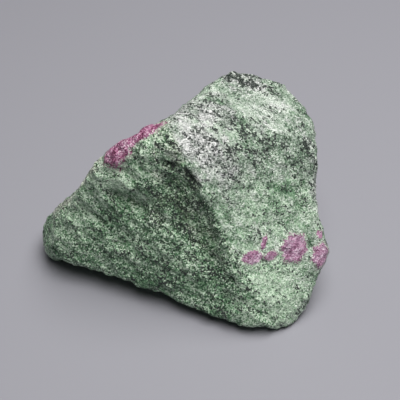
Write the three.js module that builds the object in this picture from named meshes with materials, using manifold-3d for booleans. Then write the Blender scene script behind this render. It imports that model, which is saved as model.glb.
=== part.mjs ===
// Ruby in zoisite: one rough, lightly worn lump of rock, modelled as a single closed solid in millimetres.
//
// The lump is what is left between its fracture faces. Each face is a plane, given by the way it faces and by
// how far it lies from the heart of the stone, and the edges where faces meet are worn round. Hollows and
// swells then shape the faces, a slow ripple takes away the last of their flatness, and the underside is cut
// off flat where the stone rests.
//
// Frame: +Z up, +X along the stone's longest side, origin under its middle, on the surface that it stands on.

import * as THREE from "three";
import { ImprovedNoise } from "three/addons/math/ImprovedNoise.js";
import { mergeVertices } from "three/addons/utils/BufferGeometryUtils.js";
import Module from "manifold-3d";

// Every part of the surface can be seen from the heart. The faces, hollows and swells are set out around it,
// and the finished stone is moved so that the origin is under its middle.
const HEART = new THREE.Vector3(1, 2, 15);
const EDGE_SHARPNESS = 26; // the exponent that blends neighbouring faces: higher is crisper
const MESH_DETAIL = 17; // the sphere that the surface is drawn on has 20 (MESH_DETAIL + 1)^2 triangles
const RELAX_PASSES = 8; // how often the points are moved along the surface to even the triangles out

const RIPPLE_HEIGHT = 0.45;
const RIPPLE_LENGTH = 9;

const GROUND_SPAN = 100; // a block larger than the stone, with its top at z = 0
const GROUND_DEPTH = 10;

// The way each fracture face looks, and its distance from the heart.
const FRACTURES = {
  base: { faces: [0, 0, -1], distance: 16 },
  left_wall: { faces: [-0.33, -0.91, 0.25], distance: 10.9 },
  left_undercut: { faces: [-0.33, -0.74, -0.59], distance: 17.7 },
  right_slope: { faces: [0.37, -0.74, 0.56], distance: 15.0 },
  crown: { faces: [0.21, -0.15, 0.97], distance: 21.8 },
  back_left_slope: { faces: [-0.61, 0.49, 0.62], distance: 18.7 },
  ruby_bevel: { faces: [-0.59, -0.43, 0.69], distance: 19.9 },
  left_toe: { faces: [-0.85, -0.35, 0.4], distance: 22.9 },
  left_toe_undercut: { faces: [-0.8, 0.22, -0.55], distance: 33.5 },
  right_side: { faces: [0.96, 0.25, -0.12], distance: 26.1 },
  front_toe: { faces: [0.46, -0.89, 0.02], distance: 26.4 },
  right_undercut: { faces: [0.9, -0.07, -0.43], distance: 28.8 },
  back_right: { faces: [0.68, 0.72, 0.11], distance: 30.4 },
  back: { faces: [0, 0.98, 0.17], distance: 23.9 },
  back_left: { faces: [-0.52, 0.85, 0.1], distance: 25.7 },
  back_undercut: { faces: [0.1, 0.82, -0.56], distance: 25 },
};

// Swells, and hollows where the rise is negative. Each runs from one point to another beside the surface, and
// fades out over its reach.
const RELIEF = {
  ruby_bump: { from: [-17, 1, 30.5], to: [-11, 1, 36.5], reach: 5, rise: 2.9 },
  white_shoulder: { from: [-2, -3, 38.5], to: [0, 5, 39.5], reach: 4.5, rise: 0.7 },
  step_down_beside_the_shoulder: { from: [-8, -3, 37.5], to: [-5, 2, 39.5], reach: 3, rise: -0.8 },
  notch_behind_the_shoulder: { from: [1, 8, 40], to: [4, 13, 40], reach: 4, rise: -0.9 },
  crown_corner: { from: [6, 16, 39], to: [10, 18, 39], reach: 6, rise: 1 },
  waist_across_the_right_slope: { from: [10.5, -8, 25], to: [28, 2, 21.5], reach: 6, rise: -0.8 },
  hollow_under_the_main_ridge: { from: [-2, -6, 32], to: [5.5, -12, 17.5], reach: 4.5, rise: -1.2 },
  middle_of_the_left_wall: { from: [-15, -7, 12.5], to: [1.5, -11.5, 13], reach: 7, rise: 0.7 },
  lower_ledge: { from: [-22.5, -2.5, 20.5], to: [-17.5, -4, 19.5], reach: 3, rise: -0.9 },
  middle_ledge: { from: [-16, -3, 26], to: [-9, -5.5, 25], reach: 3, rise: -1.1 },
  upper_ledge: { from: [-6, -5, 31], to: [0, -7, 30.5], reach: 3, rise: -0.9 },
  knob_at_the_ridge_top: { from: [1, -4, 37.5], to: [4, -2, 37.5], reach: 4, rise: 0.6 },
  front_toe: { from: [14, -17, 3], to: [18, -17, 8], reach: 6, rise: 0.7 },
  large_ruby: { from: [22.5, -7.5, 13.5], to: [23.5, -7, 14.8], reach: 3, rise: 0.5 },
  edge_ruby: { from: [28.5, -6, 9.5], to: [28.5, -5.5, 13], reach: 3.5, rise: 0.7 },
  scoop_in_the_back: { from: [-2, 27, 24], to: [12, 27, 16], reach: 8, rise: -1.4 },
  chipped_corner_at_the_back: { from: [22, 22, 8], to: [25, 20, 14], reach: 5, rise: -1 },
  hollow_in_the_right_side: { from: [28, 6, 12], to: [28, 12, 18], reach: 6, rise: -0.9 },
  hollow_behind_the_ruby_bump: { from: [-16, 10, 27], to: [-8, 16, 31], reach: 6, rise: -0.9 },
};

const ripple = new ImprovedNoise();
const fractures = Object.values(FRACTURES).map(({ faces, distance }) => ({
  normal: new THREE.Vector3(...faces).normalize(),
  distance,
}));
const relief = Object.values(RELIEF).map(({ from, to, reach, rise }) => ({
  line: new THREE.Line3(new THREE.Vector3(...from), new THREE.Vector3(...to)),
  reach,
  rise,
}));

// How far the fracture faces lie from the heart along a direction, with the edges between them rounded.
function fractureDistance(direction) {
  const sum = fractures.reduce((total, { normal, distance }) => {
    const slant = Math.max(0, normal.dot(direction) / distance);
    return total + slant ** EDGE_SHARPNESS;
  }, 0);
  return sum ** (-1 / EDGE_SHARPNESS);
}

function reliefRise(point) {
  const nearest = new THREE.Vector3();
  return relief.reduce((total, { line, reach, rise }) => {
    line.closestPointToPoint(point, true, nearest);
    return total + rise * Math.exp(-((nearest.distanceTo(point) / reach) ** 2));
  }, 0);
}

function rippleRise({ x, y, z }) {
  return RIPPLE_HEIGHT * ripple.noise(x / RIPPLE_LENGTH, y / RIPPLE_LENGTH, z / RIPPLE_LENGTH);
}

// The point where the surface crosses a direction from the heart.
function surfacePoint(direction) {
  const point = direction.clone().multiplyScalar(fractureDistance(direction)).add(HEART);
  return point.addScaledVector(direction, reliefRise(point) + rippleRise(point));
}

// The points that share a triangle with each point, the point itself among them.
function neighboursOf(geometry) {
  const neighbours = Array.from({ length: geometry.attributes.position.count }, () => new Set());
  const index = geometry.index.array;
  for (let i = 0; i < index.length; i += 3) {
    const corners = [index[i], index[i + 1], index[i + 2]];
    corners.forEach((corner) => corners.forEach((other) => neighbours[corner].add(other)));
  }
  return neighbours;
}

// A closed geometry with nothing but positions, its shared points merged.
function closedShell(geometry) {
  geometry.deleteAttribute("normal");
  geometry.deleteAttribute("uv");
  return mergeVertices(geometry);
}

function lumpGeometry() {
  const geometry = closedShell(new THREE.IcosahedronGeometry(1, MESH_DETAIL));
  const { position } = geometry.attributes;
  const neighbours = neighboursOf(geometry);

  let points = Array.from({ length: position.count }, (_, i) => (
    surfacePoint(new THREE.Vector3().fromBufferAttribute(position, i).normalize())
  ));
  for (let pass = 0; pass < RELAX_PASSES; pass += 1) {
    points = points.map((_, i) => {
      const middle = new THREE.Vector3();
      neighbours[i].forEach((j) => middle.add(points[j]));
      return surfacePoint(middle.divideScalar(neighbours[i].size).sub(HEART).normalize());
    });
  }
  return geometry.setFromPoints(points);
}

function groundGeometry() {
  const block = closedShell(new THREE.BoxGeometry(GROUND_SPAN, GROUND_SPAN, GROUND_DEPTH));
  return block.translate(0, 0, -GROUND_DEPTH / 2);
}

const wasm = await Module();
wasm.setup();

function solidOf(geometry) {
  const vertProperties = Float32Array.from(geometry.attributes.position.array);
  const triVerts = Uint32Array.from(geometry.index.array);
  return new wasm.Manifold(new wasm.Mesh({ numProp: 3, vertProperties, triVerts }));
}

function stoneGeometry() {
  const { vertProperties, triVerts } = solidOf(lumpGeometry()).subtract(solidOf(groundGeometry())).getMesh();
  const geometry = new THREE.BufferGeometry();
  geometry.setAttribute("position", new THREE.BufferAttribute(vertProperties, 3));
  geometry.setIndex(new THREE.BufferAttribute(triVerts, 1));

  geometry.computeBoundingBox();
  const middle = geometry.boundingBox.getCenter(new THREE.Vector3());
  geometry.translate(-middle.x, -middle.y, 0);
  geometry.computeVertexNormals();
  return geometry;
}

const rock = new THREE.MeshStandardMaterial({ color: 0x8fa58c, roughness: 0.62, metalness: 0 });
const stone = new THREE.Mesh(stoneGeometry(), rock);
stone.name = "stone";

const part = new THREE.Group();
part.add(stone);
export default part;
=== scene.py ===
import math
from types import SimpleNamespace

import bpy
from mathutils import Matrix, Vector


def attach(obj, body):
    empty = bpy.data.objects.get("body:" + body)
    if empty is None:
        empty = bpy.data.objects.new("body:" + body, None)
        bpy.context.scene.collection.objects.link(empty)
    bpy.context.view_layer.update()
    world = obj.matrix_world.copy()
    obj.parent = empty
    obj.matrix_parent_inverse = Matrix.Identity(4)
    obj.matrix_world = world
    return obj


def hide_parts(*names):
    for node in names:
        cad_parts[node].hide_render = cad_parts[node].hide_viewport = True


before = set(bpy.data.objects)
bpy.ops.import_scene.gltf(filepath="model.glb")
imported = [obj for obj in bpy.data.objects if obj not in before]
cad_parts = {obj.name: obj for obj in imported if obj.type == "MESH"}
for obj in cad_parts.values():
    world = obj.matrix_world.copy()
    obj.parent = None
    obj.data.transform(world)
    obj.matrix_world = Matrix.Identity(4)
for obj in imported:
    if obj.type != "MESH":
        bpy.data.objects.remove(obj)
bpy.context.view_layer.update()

MM = 0.001


def ruby(at, faces, runs, half):
    """A six-sided crystal: where its middle lies, the way its end faces, the way it runs, and its half-width,
    half-run and half-depth. Its turn brings local Y to the run and local Z to the way the end faces."""
    facing = Vector(faces).normalized()
    running = Vector(runs)
    running = (running - facing * running.dot(facing)).normalized()
    turn = Matrix((running.cross(facing), running, facing)).transposed()
    return {"at": at, "turn": turn, "half": half}


def strip(start, end, reach, **effects):
    """A soft strip of the rock: it runs from one point to another and fades out over its reach."""
    return {"from": start, "to": end, "reach": reach, **effects}


# ---------------------------------------------------------------------------------------------------------
# Driving values. Places and sizes are in millimetres, in the stone's own frame; turns are in degrees.
# ---------------------------------------------------------------------------------------------------------

CAMERA = {"elevation": 40, "distance": 233.3, "lens": 100, "aim": (4.3, -2.2, 19.0)}
KEY_LIGHT = {"place": (95, -30, 510), "width": 700, "depth": 360, "watts": 4.2, "colour": (1.0, 0.985, 0.97)}
ROOM_LIGHT = {"colour": (0.95, 0.96, 1.0), "strength": 0.05}
FLOOR = {"width": 4000, "colour": (0.30, 0.30, 0.335), "roughness": 0.7}

# The rubies: pale ones in the right slope, the right side, the back and the underside, and deep ones in the
# bevel and the back. They stand a little proud of the rock.
RIGHT_SLOPE = (0.36, -0.73, 0.57)
RIGHT_EDGE = (0.5, -0.66, 0.55)
BEVEL = (-0.55, -0.38, 0.74)
RUBY_RUN = (0.6, 0.64, 0.47)
BEVEL_RUN = (0.79, 0.16, 0.59)
PALE_RUBIES = {
    "large": ruby((23.7, -12.2, 14.5), faces=RIGHT_SLOPE, runs=RUBY_RUN, half=(2.5, 2.8, 2.2)),
    "edge": ruby((29.2, -11.4, 11.7), faces=RIGHT_EDGE, runs=(0.2, 0.6, 0.7), half=(1.7, 2.3, 2.4)),
    "small_left": ruby((15.1, -15.9, 15.3), faces=RIGHT_SLOPE, runs=(0.9, 0.2, 0), half=(1.25, 2.1, 1.3)),
    "small_right": ruby((18.8, -14.5, 14.4), faces=RIGHT_SLOPE, runs=(0.9, 0.5, 0), half=(0.9, 1.4, 1.0)),
    "small_high": ruby((17.3, -13.2, 17.0), faces=RIGHT_SLOPE, runs=(0.3, 0.5, 0.6), half=(0.55, 1.4, 0.9)),
    "edge_high": ruby((29.3, -8.8, 15.2), faces=RIGHT_EDGE, runs=RUBY_RUN, half=(0.6, 0.8, 0.8)),
    "back_high": ruby((-2.0, 20.5, 24.0), faces=(0, 1, 0.2), runs=(1, 0, 1), half=(2.0, 2.4, 3.0)),
    "right_low": ruby((27.5, 8.0, 12.0), faces=(1, 0.2, 0), runs=(0, 1, 1), half=(1.7, 2.0, 3.0)),
    "underside": ruby((6.0, 4.0, 0.3), faces=(0, 0, -1), runs=(1, 1, 0), half=(2.0, 2.6, 2.0)),
}
DEEP_RUBIES = {
    "bevel_low": ruby((-12.6, -3.8, 33.3), faces=BEVEL, runs=BEVEL_RUN, half=(2.2, 3.3, 2.8)),
    "bevel_high": ruby((-8.6, -2.7, 36.2), faces=BEVEL, runs=BEVEL_RUN, half=(1.7, 5.4, 2.6)),
    "back_low": ruby((8.0, 21.5, 10.0), faces=(0, 1, 0), runs=(1, 0, 0.4), half=(1.8, 2.8, 3.0)),
}
RUBY_PROUD = 0.2

# Hollows sink into the surface and swells stand out of it by their depth. Overhangs undercut the foot of the
# stone. Rounded edges are worn, and their depth is the share of the wear that they take.
HOLLOWS = {
    "under_the_ridge_high": strip((-2.7, -7.3, 32.4), (2.3, -9.4, 28.9), reach=1.2, depth=0.6),
    "under_the_ridge_low": strip((3.0, -10.0, 27.5), (7.4, -15.6, 15.0), reach=1.4, depth=1.1),
    "beside_the_ridge": strip((0.0, -9.8, 27.5), (5.5, -15.8, 14.5), reach=3.4, depth=1.3),
    "middle_ledge": strip((-12.8, -6.4, 24.0), (-7.5, -8.2, 21.5), reach=1.5, depth=1.5),
    "lower_ledge": strip((-20.3, -4.9, 18.3), (-16.1, -6.8, 16.8), reach=1.1, depth=0.9),
    "long_ledge": strip((-5.9, -8.7, 23.1), (-0.8, -12.2, 18.9), reach=1.2, depth=0.7),
    "short_ledge": strip((-14.3, -7.6, 17.6), (-10.1, -10.2, 15.0), reach=1.0, depth=0.6),
    "under_the_strip": strip((-11.4, -5.8, 29.9), (-9.0, -6.5, 27.9), reach=1.1, depth=0.9),
    "pit_below_shoulder": strip((-2.8, -7.3, 32.6), (-1.4, -7.7, 32.2), reach=1.1, depth=1.2),
    "pit_on_ridge": strip((2.0, -8.5, 31.0), (3.0, -9.3, 29.3), reach=1.0, depth=1.2),
}
SWELLS = {
    "edge_ruby": strip((30.0, -9.8, 12.5), (29.4, -11.6, 10.5), reach=2.6, depth=0.7),
    "front_foot": strip((-1.0, -18.8, 3.0), (14.0, -22.0, 2.5), reach=3.5, depth=1.1),
    "crown_tip": strip((15.5, 15.5, 37.6), (19.5, 14.5, 36.4), reach=2.3, depth=0.6),
    "ridge_high": strip((3.5, -8.0, 32.5), (7.5, -12.2, 23.3), reach=1.0, depth=0.5),
    "ridge_low": strip((7.5, -12.2, 23.3), (13.5, -19.5, 9.0), reach=1.0, depth=0.5),
    "upper_band": strip((-16.5, -5.2, 23.6), (-7.0, -7.2, 27.8), reach=2.3, depth=0.8),
    "bevel": strip((-20.3, -2.8, 22.3), (-17.0, -3.6, 27.3), reach=2.3, depth=1.0),
    "ruby_strip": strip((-15.0, -3.5, 31.5), (-12.5, -3.0, 34.0), reach=1.8, depth=0.3),
}
OVERHANGS = {
    "left": strip((-24.0, -6.5, 1.0), (-5.0, -15.5, 0.8), reach=4.0, depth=2.0),
    "front": strip((-5.0, -15.5, 0.8), (14.0, -21.5, 0.6), reach=4.0, depth=3.0),
    "foot": strip((14.0, -22.0, 0.6), (21.0, -22.5, 0.6), reach=3.0, depth=1.8),
}
ROUNDED_EDGES = {
    "crown": strip((2.0, -5.5, 37.0), (27.5, 3.0, 31.5), reach=5.0, depth=1.0),
    "bevel": strip((-22.5, -3.4, 19.0), (-14.0, -4.8, 29.0), reach=3.6, depth=1.0),
}

# The voxels of the remeshed stone: a little finer would give more than 200,000 triangles.
MESH_STEP = 0.335
MERGE_DISTANCE = 0.001
SMOOTHING_PASSES = 10
WEAR_PASSES = 150
# The depth that a full weight stands for, and the weight below which a vertex is left out.
DEEPEST = 3
LEAST_WEIGHT = 0.01

# Where relief starts and where it is full: by how squarely the surface faces the left wall's way, by how far
# it faces down, and by how far out of a ruby it is.
LEFT_WALL_FACES = Vector((-0.33, -0.91, 0.25)).normalized()
ON_LEFT_WALL = (0.6, 0.9)
FACING_DOWN = (-0.3, -0.6)
ON_A_RUBY = (1.15, 0.95)

# The bedding runs down the left wall. Its turn is for relief and its direction for the finish.
BEDDING_TURN = (0, 32, -29)
BEDDING = (0.74, -0.41, -0.53)

# ---------------------------------------------------------------------------------------------------------
# Modelling helpers
# ---------------------------------------------------------------------------------------------------------


def work_on(piece):
    """Selects a piece alone, for the operators."""
    bpy.ops.object.select_all(action="DESELECT")
    piece.select_set(True)
    bpy.context.view_layer.objects.active = piece


def finish_with(piece, kind, **settings):
    """Adds a modifier and applies it."""
    work_on(piece)
    modifier = piece.modifiers.new(kind.title(), kind)
    for name, value in settings.items():
        setattr(modifier, name, value)
    bpy.ops.object.modifier_apply(modifier=modifier.name)


def weigh(piece, name, rule):
    """A vertex group, with the weight that the rule gives from a vertex's place and the way it faces."""
    group = piece.vertex_groups.new(name=name)
    for vertex in piece.data.vertices:
        weight = rule(vertex.co / MM, vertex.normal)
        if weight > LEAST_WEIGHT:
            group.add([vertex.index], min(weight, 1), "REPLACE")


def roughen(piece, name, kind, size, height, turn=(0, 0, 0), group="", **settings):
    """Raises and lowers a surface by a texture whose features have the given length, width and depth."""
    pattern = bpy.data.textures.new(name, kind)
    pattern.noise_scale = 1
    for key, value in settings.items():
        setattr(pattern, key, value)
    placing = bpy.data.objects.new(name, None)
    bpy.context.scene.collection.objects.link(placing)
    placing.rotation_euler = [math.radians(angle) for angle in turn]
    placing.scale = Vector(size) * MM
    bpy.context.view_layer.update()
    finish_with(
        piece, "DISPLACE", texture=pattern, texture_coords="OBJECT", texture_coords_object=placing,
        strength=height * MM, mid_level=0.5, vertex_group=group,
    )
    bpy.data.objects.remove(placing)


def ramp(value, low, high):
    """0 at low, 1 at high, and a straight line between them."""
    return min(max((value - low) / (high - low), 0), 1)


def crystal_reach(place, crystal):
    """How far out of a crystal a place is: 0 at its middle and 1 on its faces."""
    local = crystal["turn"].transposed() @ (place - Vector(crystal["at"]))
    x, y, z = (local[i] / crystal["half"][i] for i in range(3))
    side = y * math.sqrt(3) / 2
    return max(abs(x), abs(x / 2 + side), abs(x / 2 - side), abs(z))


def strip_depth(place, band):
    """How deep one strip is at a place."""
    start = Vector(band["from"])
    run = Vector(band["to"]) - start
    along = min(max((place - start).dot(run) / run.length_squared, 0), 1)
    away = (place - start - run * along).length / band["reach"]
    return band["depth"] * math.exp(-away * away)


def depth_at(place, strips):
    """How deep the deepest of some strips is at a place."""
    return max(strip_depth(place, band) for band in strips.values())


# ---------------------------------------------------------------------------------------------------------
# The stone
# ---------------------------------------------------------------------------------------------------------


def copy_cad_stone():
    """A copy of the CAD stone, with its loose triangles merged and small even faces."""
    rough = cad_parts["stone"].data.copy()
    rough.materials.clear()
    stone = bpy.data.objects.new("ruby_in_zoisite", rough)
    bpy.context.scene.collection.objects.link(stone)
    work_on(stone)
    bpy.ops.object.mode_set(mode="EDIT")
    bpy.ops.mesh.select_all(action="SELECT")
    bpy.ops.mesh.remove_doubles(threshold=MERGE_DISTANCE * MM)
    bpy.ops.object.mode_set(mode="OBJECT")
    finish_with(stone, "REMESH", mode="VOXEL", voxel_size=MESH_STEP * MM)
    finish_with(stone, "SMOOTH", factor=0.5, iterations=SMOOTHING_PASSES)
    return stone


def mark_regions(stone):
    """The vertex groups that the relief follows."""
    crystals = [*PALE_RUBIES.values(), *DEEP_RUBIES.values()]

    def on_left_wall(place, facing):
        return ramp(facing.dot(LEFT_WALL_FACES), *ON_LEFT_WALL)

    def under_the_foot(place, facing):
        return ramp(facing.z, *FACING_DOWN) * depth_at(place, OVERHANGS) / DEEPEST

    def on_a_ruby(place, facing):
        return ramp(min(crystal_reach(place, crystal) for crystal in crystals), *ON_A_RUBY)

    weigh(stone, "left_wall", on_left_wall)
    weigh(stone, "elsewhere", lambda place, facing: 1 - on_left_wall(place, facing))
    weigh(stone, "hollows", lambda place, facing: depth_at(place, HOLLOWS) / DEEPEST)
    weigh(stone, "swells", lambda place, facing: depth_at(place, SWELLS) / DEEPEST)
    weigh(stone, "overhangs", under_the_foot)
    weigh(stone, "rounded_edges", lambda place, facing: depth_at(place, ROUNDED_EDGES))
    weigh(stone, "rubies", on_a_ruby)


def carve(stone):
    """The relief, from broad to fine: wear, hollows, swells and overhangs, ledges, grit and pits."""
    finish_with(stone, "SMOOTH", factor=1, iterations=WEAR_PASSES, vertex_group="rounded_edges")
    for group, way in (("hollows", -1), ("swells", 1), ("overhangs", -1)):
        finish_with(stone, "DISPLACE", strength=way * DEEPEST * MM, mid_level=0, vertex_group=group)
    roughen(stone, "swells", "CLOUDS", size=(5, 5, 5), height=0.7, noise_depth=1)
    roughen(
        stone, "ledges", "CLOUDS", size=(4.5, 2.2, 2.2), height=1.1, turn=BEDDING_TURN, group="left_wall",
        noise_depth=2,
    )
    roughen(
        stone, "scoops", "VORONOI", size=(3.0, 2.2, 2.2), height=0.5, turn=BEDDING_TURN,
        distance_metric="DISTANCE_SQUARED",
    )
    roughen(
        stone, "crumbs", "CLOUDS", size=(1.5, 1.0, 1.0), height=0.5, turn=BEDDING_TURN, group="left_wall",
        noise_depth=3,
    )
    roughen(stone, "grit", "CLOUDS", size=(1.3, 1.3, 1.3), height=0.45, group="elsewhere", noise_depth=3)
    roughen(stone, "pits", "STUCCI", size=(1.0, 1.0, 1.0), height=0.3, turbulence=4)
    finish_with(stone, "DISPLACE", strength=RUBY_PROUD * MM, mid_level=0, vertex_group="rubies")


def flatten_underside(stone):
    """Brings all that hangs lower than the flat that the stone rests on up to it."""
    for vertex in stone.data.vertices:
        vertex.select = vertex.co.z < 0
    for edge in stone.data.edges:
        edge.select = False
    for face in stone.data.polygons:
        face.select = False
    bpy.ops.object.mode_set(mode="EDIT")
    bpy.ops.mesh.select_mode(type="VERT")
    bpy.ops.transform.resize(value=(1, 1, 0), center_override=(0, 0, 0))
    bpy.ops.object.mode_set(mode="OBJECT")


def make_stone():
    """The finished stone. It stands for the CAD stone and moves with its body."""
    stone = copy_cad_stone()
    mark_regions(stone)
    carve(stone)
    flatten_underside(stone)
    bpy.ops.object.shade_smooth()
    stone.vertex_groups.clear()
    stone.data.materials.append(stone_finish())
    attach(stone, "root")
    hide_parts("stone")


# ---------------------------------------------------------------------------------------------------------
# Node helpers
# ---------------------------------------------------------------------------------------------------------

NUMBER, VECTOR = "NodeSocketFloat", "NodeSocketVector"


def connect(tree, socket, value):
    """Gives a socket a value, or joins it to another node's output."""
    if isinstance(value, bpy.types.NodeSocket):
        tree.links.new(value, socket)
    else:
        socket.default_value = value


def add(tree, kind, inputs=None, **settings):
    """A node with its settings and inputs."""
    node = tree.nodes.new(kind)
    for name, value in settings.items():
        setattr(node, name, value)
    for name, value in (inputs or {}).items():
        connect(tree, node.inputs[name], value)
    return node


def use(tree, group, inputs):
    """Places a node group and gives its outputs."""
    return add(tree, "ShaderNodeGroup", inputs, node_tree=group).outputs


def calc(tree, operation, a, b=0.0, clamp=False):
    """A calculation on two numbers."""
    return add(tree, "ShaderNodeMath", {0: a, 1: b}, operation=operation, use_clamp=clamp).outputs[0]


def total(tree, *terms):
    """The sum of some values, each times a factor."""
    result = 0.0
    for value, factor in terms:
        node = add(tree, "ShaderNodeMath", {0: value, 1: factor, 2: result}, operation="MULTIPLY_ADD")
        result = node.outputs[0]
    return result


def vector_calc(tree, operation, a, b=(0, 0, 0)):
    """A calculation on two vectors that gives a vector."""
    return add(tree, "ShaderNodeVectorMath", {0: a, 1: b}, operation=operation).outputs[0]


def vector_scale(tree, a, factor):
    """A vector times a number."""
    return add(tree, "ShaderNodeVectorMath", {0: a, "Scale": factor}, operation="SCALE").outputs[0]


def vector_number(tree, operation, a, b=(0, 0, 0)):
    """A calculation on vectors that gives a number, such as a length."""
    return add(tree, "ShaderNodeVectorMath", {0: a, 1: b}, operation=operation).outputs["Value"]


def centred(tree, colour):
    """A random colour as a vector that points any way."""
    return vector_calc(tree, "SUBTRACT", colour, (0.5, 0.5, 0.5))


def remap(tree, value, low, high, to_low=0.0, to_high=1.0):
    """A value brought from low..high to to_low..to_high, with soft ends."""
    return add(
        tree, "ShaderNodeMapRange", {"Value": value, 1: low, 2: high, 3: to_low, 4: to_high},
        interpolation_type="SMOOTHSTEP",
    ).outputs[0]


def mix(tree, factor, a, b):
    """A colour between two others."""
    node = add(tree, "ShaderNodeMix", {0: factor}, data_type="RGBA")
    for index, colour in ((6, a), (7, b)):
        is_socket = isinstance(colour, bpy.types.NodeSocket)
        connect(tree, node.inputs[index], colour if is_socket else (*colour, 1))
    return node.outputs[2]


def noise(tree, place, size, detail=2.0, rough=0.55, shift=0.0):
    """Soft noise whose features have a given size. A shift makes a pattern of its own."""
    if shift:
        place = vector_calc(tree, "ADD", place, (shift, shift, 0))
    inputs = {"Vector": place, "Scale": 1 / size, "Detail": detail, "Roughness": rough}
    return add(tree, "ShaderNodeTexNoise", inputs).outputs


def turned_into(tree, place, turn):
    """Places in the frame of a thing with the given turn."""
    inputs = {"Vector": place, "Rotation": turn}
    return add(tree, "ShaderNodeVectorRotate", inputs, rotation_type="EULER_XYZ", invert=True).outputs[0]


def stretch(tree, place, along, length, width):
    """Places scaled so that a pattern of size 1 runs along a direction, at a given length and width."""
    turn = Vector(along).to_track_quat("X", "Z").to_euler()
    return vector_calc(tree, "DIVIDE", turned_into(tree, place, turn), (length, width, width))


def colour_ramp(tree, value, stops):
    """The colour at a value, between stops that each have a position and a colour."""
    node = add(tree, "ShaderNodeValToRGB", {"Fac": value})
    while len(node.color_ramp.elements) < len(stops):
        node.color_ramp.elements.new(0.5)
    for element, (position, colour) in zip(node.color_ramp.elements, stops):
        element.position = position
        element.color = (*colour, 1)
    return node.outputs["Color"]


def new_group(name, inputs, outputs):
    """An empty node group, with its inputs and the sockets of its outputs."""
    tree = bpy.data.node_groups.new(name, "ShaderNodeTree")
    for socket, kind in inputs:
        tree.interface.new_socket(socket, in_out="INPUT", socket_type=kind)
    for socket, kind in outputs:
        tree.interface.new_socket(socket, in_out="OUTPUT", socket_type=kind)
    return tree, tree.nodes.new("NodeGroupInput").outputs, tree.nodes.new("NodeGroupOutput").inputs


def new_material(name):
    """A material with nodes."""
    material = bpy.data.materials.new(name)
    material.use_nodes = True
    return material


# ---------------------------------------------------------------------------------------------------------
# Node groups
# ---------------------------------------------------------------------------------------------------------

# How far from a patch's line, as a share of its reach, it starts and where it is full.
PATCH_EDGE = (1.3, 0.5)


def grains_group():
    """Ragged grains that fit together: three random values for each, and the lean of its cleavage face."""
    tree, given, result = new_group(
        "Mineral grains", [("Place", VECTOR), ("Size", NUMBER), ("Ragged", NUMBER)],
        [("Tone", NUMBER), ("Kind", NUMBER), ("Lift", NUMBER), ("Lean", VECTOR)],
    )
    fineness = calc(tree, "DIVIDE", 1.0, given["Size"])
    wobble = add(tree, "ShaderNodeTexNoise", {"Vector": given["Place"], "Scale": fineness, "Detail": 2.0})
    reach = calc(tree, "MULTIPLY", given["Ragged"], given["Size"])
    off = vector_scale(tree, centred(tree, wobble.outputs["Color"]), reach)
    cells = add(
        tree, "ShaderNodeTexVoronoi",
        {"Vector": vector_calc(tree, "ADD", given["Place"], off), "Scale": fineness}, feature="F1",
    )
    values = add(tree, "ShaderNodeSeparateColor", {"Color": cells.outputs["Color"]}).outputs
    for value, name in zip(values, ("Tone", "Kind", "Lift")):
        tree.links.new(value, result[name])
    tree.links.new(centred(tree, cells.outputs["Color"]), result["Lean"])
    return tree


def crystal_group():
    """How far out of a six-sided crystal a place is: 0 at its middle and 1 on its faces."""
    tree, given, result = new_group(
        "Crystal reach", [("Place", VECTOR), ("Middle", VECTOR), ("Turn", VECTOR), ("Half", VECTOR)],
        [("Reach", NUMBER)],
    )
    local = vector_calc(tree, "SUBTRACT", given["Place"], given["Middle"])
    local = vector_calc(tree, "DIVIDE", turned_into(tree, local, given["Turn"]), given["Half"])
    x, y, z = add(tree, "ShaderNodeSeparateXYZ", {"Vector": local}).outputs
    reach = calc(tree, "MAXIMUM", calc(tree, "ABSOLUTE", x), calc(tree, "ABSOLUTE", z))
    half_x = calc(tree, "MULTIPLY", x, 0.5)
    side_y = calc(tree, "MULTIPLY", y, math.sqrt(3) / 2)
    for slant in (calc(tree, "ADD", half_x, side_y), calc(tree, "SUBTRACT", half_x, side_y)):
        reach = calc(tree, "MAXIMUM", reach, calc(tree, "ABSOLUTE", slant))
    tree.links.new(reach, result["Reach"])
    return tree


def patch_group():
    """A soft, ragged region along a line: 1 on the line, 0 outside its reach."""
    tree, given, result = new_group(
        "Patch", [("Place", VECTOR), ("From", VECTOR), ("To", VECTOR), ("Reach", NUMBER), ("Edge", NUMBER)],
        [("Amount", NUMBER)],
    )
    run = vector_calc(tree, "SUBTRACT", given["To"], given["From"])
    away = vector_calc(tree, "SUBTRACT", given["Place"], given["From"])
    covered = vector_number(tree, "DOT_PRODUCT", away, run)
    along = calc(tree, "DIVIDE", covered, vector_number(tree, "DOT_PRODUCT", run, run), clamp=True)
    away = vector_calc(tree, "SUBTRACT", away, vector_scale(tree, run, along))
    distance = calc(tree, "DIVIDE", vector_number(tree, "LENGTH", away), given["Reach"])
    amount = remap(tree, calc(tree, "ADD", distance, given["Edge"]), *PATCH_EDGE)
    tree.links.new(amount, result["Amount"])
    return tree


GRAINS = grains_group()
CRYSTAL = crystal_group()
PATCH = patch_group()

# ---------------------------------------------------------------------------------------------------------
# The stone's finish
# ---------------------------------------------------------------------------------------------------------

# Grain sizes, and how much longer and narrower the rock's patterns are along its bedding.
COARSE_GRAIN = 0.8
FINE_GRAIN = 0.27
FLECK = 0.36
SPECKLE = 0.35
BEDDED_LENGTH = 1.5
BEDDED_WIDTH = 0.85

# The level of green that the broad patterns stay under, so that the grains still show on the palest rock.
PALEST = 0.45

# Where each mineral starts and where it is full, on the value that places it, and how much of the rock under
# it each one covers.
WHITE_AND_GLINT_EDGE = (0.63, 0.7)
HORNBLENDE_EDGE = (1.75, 1.79)
RUBY_EDGE = (1.08, 0.98)
RIM_EDGE = (1.3, 1.08)
HORNBLENDE_COVER = 0.95
SEAM_COVER = 0.75
RIM_COVER = 0.6

# A reach far outside every crystal.
FAR_OUTSIDE = 9.0

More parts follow.
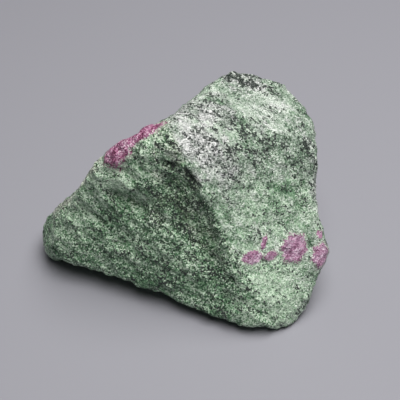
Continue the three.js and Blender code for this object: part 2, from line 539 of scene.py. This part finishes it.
# Colours, from the darkest to the palest where a mineral has several.
GREEN = [
    (0.0, (0.012, 0.05, 0.018)), (0.25, (0.048, 0.165, 0.065)), (0.5, (0.165, 0.33, 0.17)),
    (0.75, (0.345, 0.52, 0.345)), (1.0, (0.63, 0.79, 0.61)),
]
SILVER = [
    (0.0, (0.025, 0.03, 0.027)), (0.25, (0.10, 0.115, 0.105)), (0.5, (0.28, 0.305, 0.285)),
    (0.75, (0.52, 0.54, 0.525)), (1.0, (0.87, 0.88, 0.87)),
]
OLIVE = [
    (0.0, (0.03, 0.032, 0.02)), (0.25, (0.105, 0.125, 0.08)), (0.5, (0.28, 0.32, 0.225)),
    (0.75, (0.48, 0.53, 0.42)), (1.0, (0.82, 0.85, 0.76)),
]
SEAMS = [
    (0.3, (0.07, 0.06, 0.05)), (0.42, (0.32, 0.35, 0.27)), (0.6, (0.52, 0.56, 0.45)),
    (0.85, (0.85, 0.85, 0.78)),
]
PALE_RUBY = [
    (0.1, (0.15, 0.045, 0.10)), (0.35, (0.34, 0.14, 0.25)), (0.6, (0.51, 0.27, 0.42)),
    (0.95, (0.82, 0.64, 0.77)),
]
DEEP_RUBY = [
    (0.15, (0.09, 0.012, 0.045)), (0.45, (0.30, 0.07, 0.165)), (0.7, (0.50, 0.21, 0.36)),
    (0.95, (0.88, 0.68, 0.78)),
]
RUBY_RIM = (0.62, 0.64, 0.56)
HORNBLENDE = (0.015, 0.026, 0.02)
# White grains, partly the rock's own and partly painted glints, left and right of the ridge.
WHITE_AND_GLINT_ON_LEFT_WALL = (0.64, 0.84, 0.66)
WHITE_AND_GLINT_ON_RIGHT_SLOPE = (0.82, 0.87, 0.83)

# Regions of the rock, and how much each pales, greys and darkens it; some of them are painted shade or
# painted light.
PATCHES = {
    "white_shoulder": strip((-2, -3, 38.5), (4, -4.5, 37), 6, pale=0.13, grey=0.35, dark=0.05),
    "shoulder_rim": strip((-3.6, -2.2, 38.3), (-3.8, -5.5, 35), 1.3, pale=-0.1, grey=0.3, dark=0.9),
    # Painted shade in the pit below the shoulder and the pit on the ridge: darker, greyer rock with more
    # black grains.
    "painted_shade_in_shoulder_pit": strip((-2.8, -7.3, 32.6), (-1.4, -7.7, 32.2), 1.5, pale=-0.1, grey=0.3, dark=0.8),
    "painted_shade_in_ridge_pit": strip((2.0, -8.5, 31.0), (3.2, -9.3, 29.0), 1.6, pale=-0.1, grey=0.3, dark=0.8),
    "shoulder_skirt": strip((4, -6, 35), (9, -7, 31), 4, pale=0.0, grey=0.4, dark=0.3),
    "shoulder_back": strip((1, 5, 38), (8, 3, 37.5), 4, pale=0.0, grey=0.4, dark=0.3),
    "crown_tip": strip((11.5, 15, 38.5), (15, 15, 37.6), 3, pale=-0.05, grey=0.4, dark=1.0),
    "crown_mint": strip((12, 9, 37.5), (19, 9, 36), 6, pale=0.09, grey=0.15, dark=-0.1),
    "right_pale": strip((19, 6, 35), (25, 5, 33), 5, pale=0.06, grey=0.1, dark=0.0),
    "right_grey": strip((14, -2, 33), (27, 0, 29), 4, pale=-0.05, grey=0.05, dark=0.4),
    "right_mint": strip((15, -8, 23), (27, -5, 20), 5, pale=0.07, grey=-0.25, dark=-0.1),
    "right_white": strip((29, -3, 25), (30, -4, 19), 2.2, pale=0.15, grey=0.5, dark=0.2),
    # The foot is paler and greener: the green is the rock's own, and the paleness is partly the rock's and
    # partly painted light.
    "foot": strip((18, -17.5, 11), (20, -21, 5), 8, pale=0.38, grey=-0.5, dark=0.0),
    # Painted shade: the left wall beside the ridge is darker and greyer.
    "painted_shade_left_of_ridge": strip((-6, -9, 27), (2, -13, 19), 5, pale=-0.03, grey=0.2, dark=0.1),
    "low_wall": strip((-8, -14, 6), (8, -19, 5), 5, pale=-0.07, grey=-0.35, dark=0.1),
    "toe": strip((-27, -1, 11), (-24, -6, 9), 7, pale=-0.02, grey=-0.6, dark=0.0),
    "wall_patch": strip((-14, -9, 13), (0, -14, 11), 4, pale=0.08, grey=0.1, dark=0.15),
    "bevel_side": strip((-22, -4.2, 18), (-13, -5.5, 29), 4.4, pale=0.28, grey=0.1, dark=-0.1),
    # Painted light: the top of the left wall is paler.
    "painted_light_on_wall_top": strip((-12, -5.5, 29.5), (-5, -6, 33), 5, pale=0.26, grey=0.0, dark=-0.1),
    "ledge_shade": strip((-13, -7, 23), (-5, -10, 20), 2.5, pale=-0.12, grey=0.2, dark=0.1),
}
# Beside the ridge, painted shade darkens the left wall's side and painted light pales the right side.
BESIDE_RIDGE = strip((0.5, -8, 30.5), (8.5, -16.5, 14), reach=6.5)
SHADED_SIDE = {"pale": -0.12, "grey": 0.3, "dark": 0.2}
LIT_SIDE = {"pale": 0.06, "grey": -0.2, "dark": -0.3}
BEVEL_SEAM = strip((-27.5, 1.8, 14.0), (-17.5, -1.8, 29.0), reach=2.6)
# The plane through the ridge: the way it faces, and how far from the origin it lies.
RIDGE_PLANE = {"facing": (0.88, 0.23, 0.41), "distance": 13.2}


def shared_patterns(tree):
    """What all the minerals use: places in millimetres, as they are and stretched along the bedding, grains
    of three sizes, a fine speckle, and the raggedness of a region's edge."""
    place = add(tree, "ShaderNodeTexCoord").outputs["Object"]
    place = add(tree, "ShaderNodeMapping", {"Vector": place, "Scale": (1 / MM,) * 3}).outputs[0]
    bedded = stretch(tree, place, BEDDING, BEDDED_LENGTH, BEDDED_WIDTH)
    coarse = use(tree, GRAINS, {"Place": bedded, "Size": COARSE_GRAIN, "Ragged": 1.2})
    fine = use(tree, GRAINS, {"Place": place, "Size": FINE_GRAIN, "Ragged": 0.6})
    fleck = use(tree, GRAINS, {"Place": place, "Size": FLECK, "Ragged": 0.5})
    speckle = noise(tree, place, size=SPECKLE, detail=1.0, rough=0.8)["Fac"]
    edge = noise(tree, bedded, size=2.2, detail=4.0, rough=0.7)["Fac"]
    edge = total(tree, (edge, 3.0), (fine["Lift"], 0.4), (1.0, -1.7))
    return SimpleNamespace(
        place=place, bedded=bedded, coarse=coarse, fine=fine, fleck=fleck, speckle=speckle, edge=edge,
    )


def region(tree, pattern, band):
    """How far inside a strip a place is, with a ragged edge."""
    return use(tree, PATCH, {
        "Place": pattern.place, "From": band["from"], "To": band["to"], "Reach": band["reach"],
        "Edge": pattern.edge,
    })["Amount"]


def lay_of_the_rock(tree, pattern):
    """Whether a place is right of the ridge, and the terms that add up to how pale, grey and dark it is,
    painted shade and light among them.
    """
    away = vector_number(tree, "DOT_PRODUCT", pattern.place, RIDGE_PLANE["facing"])
    right = total(tree, (away, 1.0), (pattern.edge, 1.0), (1.0, -RIDGE_PLANE["distance"]))
    right = remap(tree, right, -0.8, 0.8)
    regions = [(region(tree, pattern, band), band) for band in PATCHES.values()]
    beside = region(tree, pattern, BESIDE_RIDGE)
    regions.append((calc(tree, "MULTIPLY", beside, calc(tree, "SUBTRACT", 1.0, right)), SHADED_SIDE))
    regions.append((calc(tree, "MULTIPLY", beside, right), LIT_SIDE))
    terms = {
        effect: [(amount, effects[effect]) for amount, effects in regions]
        for effect in ("pale", "grey", "dark")
    }
    return SimpleNamespace(right=right, **terms)


def zoisite(tree, pattern, lay):
    """Zoisite that drifts from deep green to mint, silver and olive, and differs from grain to grain: its
    colour, and how grey it is."""
    drift = noise(tree, pattern.bedded, size=6.0, detail=3.0, rough=0.6)["Fac"]
    mottle = noise(tree, pattern.bedded, size=2.6, detail=4.0, rough=0.6, shift=30)["Fac"]
    # The regions' paleness, painted shade and light among them, sets the level of green.
    level = total(tree, *lay.pale, (lay.right, 0.07), (drift, 1.0), (mottle, 1.2), (1.0, -0.97))
    level = calc(tree, "MINIMUM", level, PALEST)

    contrast = noise(tree, pattern.bedded, size=3.0, detail=3.0, rough=0.6, shift=110)["Fac"]
    contrast = remap(tree, contrast, 0.35, 0.65, 0.45, 0.95)
    contrast = calc(tree, "MULTIPLY", contrast, total(tree, (lay.right, -0.7), (1.0, 1.5)))
    sparkle = calc(tree, "MULTIPLY", calc(tree, "SUBTRACT", pattern.fine["Tone"], 0.5), contrast)
    level = total(tree, (level, 1.0), (sparkle, 1.1), (pattern.coarse["Tone"], 0.1), (pattern.speckle, 0.8))

    drift_grey = noise(tree, pattern.bedded, size=2.5, detail=5.0, rough=0.7, shift=40)["Fac"]
    drift_grey = remap(tree, drift_grey, 0.45, 0.7)
    greyness = total(
        tree, *lay.grey, (lay.right, 0.55), (drift_grey, 0.4), (pattern.fine["Lift"], 0.3), (1.0, -0.4),
    )
    green, silver, olive = (colour_ramp(tree, level, stops) for stops in (GREEN, SILVER, OLIVE))
    grey = mix(tree, lay.right, olive, silver)
    return mix(tree, calc(tree, "ADD", greyness, 0, clamp=True), green, grey), greyness


def with_white_grains_and_painted_glints(tree, pattern, lay, greyness, rock):
    """Scattered white grains, partly the rock's own and partly painted glints, stronger on the left wall and
    where the rock is grey.
    """
    white = noise(tree, pattern.bedded, size=0.4, detail=1.0, rough=0.8, shift=55)["Fac"]
    white = remap(tree, white, *WHITE_AND_GLINT_EDGE)
    white = calc(tree, "MULTIPLY", white, total(tree, (lay.right, -0.3), (1.0, 0.75)))
    white = calc(tree, "MULTIPLY", white, calc(tree, "ADD", greyness, 0.8, clamp=True))
    return mix(tree, white, rock, mix(tree, lay.right, WHITE_AND_GLINT_ON_LEFT_WALL, WHITE_AND_GLINT_ON_RIGHT_SLOPE))


def hornblende(tree, pattern, lay):
    """Where the black grains are, scattered and in clusters, and more of them in the regions that darken the
    rock, painted shade among them.
    """
    cluster = noise(tree, pattern.bedded, size=2.4, detail=4.0, rough=0.75, shift=90)["Fac"]
    dark = [(amount, factor * 0.4) for amount, factor in lay.dark]
    share = total(tree, *dark, (pattern.fleck["Kind"], 0.7), (cluster, 2.2))
    return remap(tree, share, *HORNBLENDE_EDGE)


def with_bevel_seams(tree, pattern, rock):
    """Pale seams that run along the bevel."""
    along = Vector(BEVEL_SEAM["to"]) - Vector(BEVEL_SEAM["from"])
    seam = noise(tree, stretch(tree, pattern.place, along, length=6, width=0.6), size=1.0)["Fac"]
    seam = colour_ramp(tree, total(tree, (seam, 1.7), (pattern.fine["Tone"], 0.5), (1.0, -0.52)), SEAMS)
    return mix(tree, calc(tree, "MULTIPLY", region(tree, pattern, BEVEL_SEAM), SEAM_COVER), rock, seam)


def with_rubies(tree, pattern, rock):
    """Ruby crystals with ragged faces, streaks that run through them, and a pale rim in the rock around them:
    the colour, and where the rubies are."""
    wander = centred(tree, noise(tree, pattern.place, size=0.8, detail=3.0, rough=0.7)["Color"])
    bent = vector_calc(tree, "ADD", pattern.place, vector_scale(tree, wander, 1.1))
    streaked = stretch(tree, pattern.place, RUBY_RUN, length=5.0, width=1.2)
    streak = noise(tree, streaked, size=1.0, detail=3.0)["Fac"]
    shade = total(
        tree, (remap(tree, streak, 0.35, 0.65), 0.35), (pattern.speckle, 0.35), (pattern.fine["Tone"], 0.45),
        (1.0, -0.02),
    )
    mask = 0.0
    for crystals, stops in ((PALE_RUBIES, PALE_RUBY), (DEEP_RUBIES, DEEP_RUBY)):
        reach = FAR_OUTSIDE
        for crystal in crystals.values():
            outputs = use(tree, CRYSTAL, {
                "Place": bent, "Middle": crystal["at"], "Turn": crystal["turn"].to_euler(),
                "Half": crystal["half"],
            })
            reach = calc(tree, "MINIMUM", reach, outputs["Reach"])
        reach = total(tree, (reach, 1.0), (pattern.fine["Lift"], 0.3), (1.0, -0.15))
        rock = mix(tree, remap(tree, reach, *RIM_EDGE, 0.0, RIM_COVER), rock, RUBY_RIM)
        inside = remap(tree, reach, *RUBY_EDGE)
        rock = mix(tree, inside, rock, colour_ramp(tree, shade, stops))
        mask = calc(tree, "MAXIMUM", mask, inside)
    return rock, mask


def cleavage(tree, pattern, black):
    """The way the surface faces: each grain stands a little higher or lower than the next and leans its own
    way, and the black ones lie lower."""
    coarse, fine = pattern.coarse, pattern.fine
    height = total(tree, (coarse["Lift"], 0.1), (fine["Lift"], 0.08), (pattern.speckle, 0.4), (black, -0.12))
    bump = add(tree, "ShaderNodeBump", {"Height": height, "Distance": MM, "Strength": 1.0}).outputs["Normal"]
    lean = vector_calc(
        tree, "ADD", vector_scale(tree, coarse["Lean"], 0.3), vector_scale(tree, fine["Lean"], 0.7),
    )
    return vector_calc(tree, "NORMALIZE", vector_calc(tree, "ADD", bump, lean))


def stone_finish():
    """Ruby in zoisite: green rock with white and black grains, painted glints, painted shade and light in
    places, pale seams on its bevel, and rubies.
    """
    material = new_material("ruby_in_zoisite")
    tree = material.node_tree
    tree.nodes.clear()
    pattern = shared_patterns(tree)
    lay = lay_of_the_rock(tree, pattern)

    rock, greyness = zoisite(tree, pattern, lay)
    rock = with_white_grains_and_painted_glints(tree, pattern, lay, greyness, rock)
    black = hornblende(tree, pattern, lay)
    rock = mix(tree, calc(tree, "MULTIPLY", black, HORNBLENDE_COVER), rock, HORNBLENDE)
    rock = with_bevel_seams(tree, pattern, rock)
    rock, rubies = with_rubies(tree, pattern, rock)

    shader = add(tree, "ShaderNodeBsdfPrincipled", {
        "Base Color": rock,
        "Roughness": total(tree, (pattern.fine["Lift"], 0.45), (1.0, 0.2), (rubies, -0.06)),
        "IOR": 1.65,
        "Normal": cleavage(tree, pattern, black),
    })
    add(tree, "ShaderNodeOutputMaterial", {"Surface": shader.outputs["BSDF"]})
    return material


# ---------------------------------------------------------------------------------------------------------
# Camera, floor and light
# ---------------------------------------------------------------------------------------------------------


def aim(thing, place, at):
    """Puts a camera or a light at a place and points it at another."""
    thing.location = place
    thing.rotation_euler = (Vector(at) - Vector(place)).to_track_quat("-Z", "Y").to_euler()


def make_camera():
    """A long lens in front of the stone, that looks down on it."""
    data = bpy.data.cameras.new("camera")
    data.lens = CAMERA["lens"]
    camera = bpy.data.objects.new("camera", data)
    bpy.context.scene.collection.objects.link(camera)
    rise = math.radians(CAMERA["elevation"])
    at = Vector(CAMERA["aim"]) * MM
    back = Vector((0, -math.cos(rise), math.sin(rise))) * CAMERA["distance"] * MM
    aim(camera, at + back, at)
    bpy.context.scene.camera = camera


def make_floor():
    """The pale surface that the stone rests on."""
    bpy.ops.object.select_all(action="DESELECT")
    bpy.ops.mesh.primitive_plane_add(size=FLOOR["width"] * MM, location=(0, 0, 0))
    floor = bpy.context.object
    floor.name = "floor"
    material = new_material("pale_surface")
    shader = material.node_tree.nodes["Principled BSDF"]
    shader.inputs["Base Color"].default_value = (*FLOOR["colour"], 1)
    shader.inputs["Roughness"].default_value = FLOOR["roughness"]
    floor.data.materials.append(material)


def make_key_light():
    """One wide, soft light high above the stone."""
    data = bpy.data.lights.new("key", "AREA")
    data.shape = "ELLIPSE"
    data.size = KEY_LIGHT["width"] * MM
    data.size_y = KEY_LIGHT["depth"] * MM
    data.energy = KEY_LIGHT["watts"]
    data.color = KEY_LIGHT["colour"]
    light = bpy.data.objects.new("key", data)
    bpy.context.scene.collection.objects.link(light)
    aim(light, Vector(KEY_LIGHT["place"]) * MM, Vector(CAMERA["aim"]) * MM)


def make_room_light():
    """Faint light from all around."""
    world = bpy.data.worlds.new("studio")
    bpy.context.scene.world = world
    world.use_nodes = True
    background = world.node_tree.nodes["Background"]
    background.inputs["Color"].default_value = (*ROOM_LIGHT["colour"], 1)
    background.inputs["Strength"].default_value = ROOM_LIGHT["strength"]


make_camera()
make_floor()
make_room_light()
make_key_light()
bpy.context.scene.view_settings.view_transform = "Standard"
make_stone()
